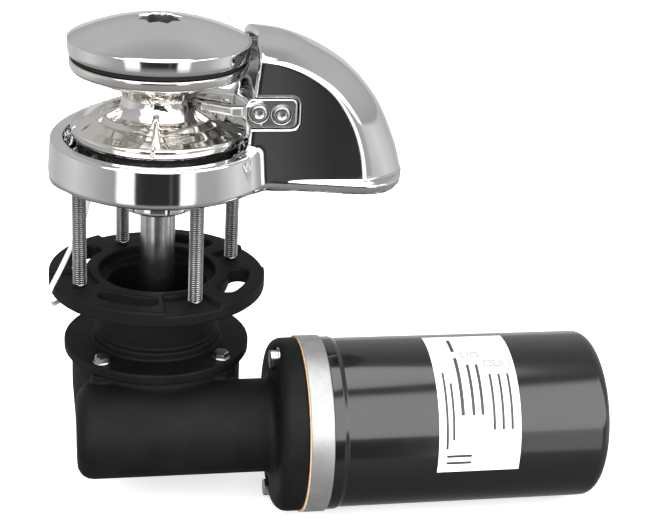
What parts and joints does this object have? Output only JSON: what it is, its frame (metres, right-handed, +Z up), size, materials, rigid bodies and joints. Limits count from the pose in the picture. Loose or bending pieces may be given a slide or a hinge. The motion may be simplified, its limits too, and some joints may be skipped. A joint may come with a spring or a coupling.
{
  "type": "anchor windlass",
  "caption": "Vertical anchor windlass: domed clutch cap, chain gypsy, base ring with chain hood, deck studs, under-deck flange, worm gearbox and electric motor.",
  "frame": {"origin": "on the main shaft's axis in the deck plane, the underside of the base casting", "axes": "+Z up along the main shaft, +X along the worm and motor towards the motor's closed end, -Y towards the worm's side of the gearbox"},
  "size_m": [0.3295, 0.1597, 0.2779],
  "materials": {
    "polished_steel": "mirror-polished stainless steel casting",
    "plated_bronze": "chromed bronze, bright",
    "stainless": "turned stainless steel",
    "bearing_steel": "ground bearing steel",
    "bronze": "machined bronze",
    "copper": "enamelled copper",
    "black_casting": "satin black powder coat on cast aluminium",
    "black_gloss": "gloss black paint on drawn steel",
    "zinc_ring": "cast aluminium, faintly mottled",
    "tan_gasket": "pressed paper gasket",
    "friction_lining": "black friction lining",
    "rubber_seal": "black nitrile rubber",
    "white_lead": "white cable sheath",
    "black_plastic": "black moulded plastic",
    "phenolic": "phenolic board",
    "carbon": "carbon brush",
    "ferrite": "ferrite magnet",
    "lamination": "laminated iron",
    "label": "white printed film"
  },
  "bodies": {
    "housing": {"base_casting": "polished_steel", "base_seal": "rubber_seal", "chain_stripper": "polished_steel", "stripper_screws": "stainless", "stripper_washers": "stainless", "deck_studs": "stainless", "chain_sensor": "black_plastic", "sensor_cable": "white_lead", "sensor_cable_coil": "white_lead", "sensor_plug": "white_lead", "deck_flange": "black_casting", "flange_screws": "stainless", "flange_gasket": "tan_gasket", "gearbox_shaft_seal": "rubber_seal", "shaft_bearing_outer_rings": "bearing_steel", "shaft_bearing_balls": "bearing_steel", "gear_housing": "black_casting", "worm_and_motor_bearing_outer_rings": "bearing_steel", "worm_and_motor_bearing_balls": "bearing_steel", "worm_shaft_seal": "rubber_seal", "motor_gasket": "tan_gasket", "motor_end_bell": "zinc_ring", "motor_bolts": "stainless", "motor_can": "black_gloss", "motor_magnets": "ferrite", "brush_plate": "phenolic", "carbon_brushes": "carbon", "brush_springs": "stainless", "terminal_studs": "bronze", "terminal_insulators": "black_plastic", "terminal_nuts": "bronze", "motor_label": "label"},
    "drive_shaft": {"main_shaft": "stainless", "shaft_keys": "stainless", "circlips": "stainless", "lower_clutch_cone": "stainless", "lower_clutch_lining": "friction_lining", "wheel_hub": "stainless", "worm_wheel": "bronze", "shaft_bearing_inner_rings": "bearing_steel"},
    "gypsy": {"gypsy": "plated_bronze", "gypsy_bush": "bronze", "gypsy_magnet": "stainless"},
    "upper_cone": {"upper_clutch_cone": "stainless", "upper_clutch_lining": "friction_lining"},
    "clutch_cap": {"clutch_cap": "polished_steel"},
    "armature": {"worm_shaft": "stainless", "worm_and_motor_bearing_inner_rings": "bearing_steel", "drive_coupling": "stainless", "armature_shaft": "stainless", "armature_core": "lamination", "armature_windings": "copper", "commutator": "copper"}
  },
  "joints": [
    {"name": "drive_spin", "type": "hinge", "parent": "housing", "child": "drive_shaft", "pos_m": [0, 0, 0], "axis": [0, 0, 1], "continuous": true},
    {"name": "gypsy_spin", "type": "hinge", "parent": "drive_shaft", "child": "gypsy", "pos_m": [0, 0, 0.0445], "axis": [0, 0, 1], "continuous": true},
    {"name": "cone_lift", "type": "slide", "parent": "drive_shaft", "child": "upper_cone", "axis": [0, 0, 1], "range_m": [0, 0.0015]},
    {"name": "cap_turn", "type": "hinge", "parent": "upper_cone", "child": "clutch_cap", "pos_m": [0, 0, 0.075], "axis": [0, 0, 1], "range_deg": [0, 360]},
    {"name": "worm_spin", "type": "hinge", "parent": "housing", "child": "armature", "pos_m": [0, -0.046, -0.1383], "axis": [1, 0, 0], "continuous": true}
  ],
  "couplings": [
    {"joint": "worm_spin", "follows": "drive_spin", "ratio": -40},
    {"joint": "cap_turn", "follows": "cone_lift", "rad_per_m": 4188.8}
  ]
}
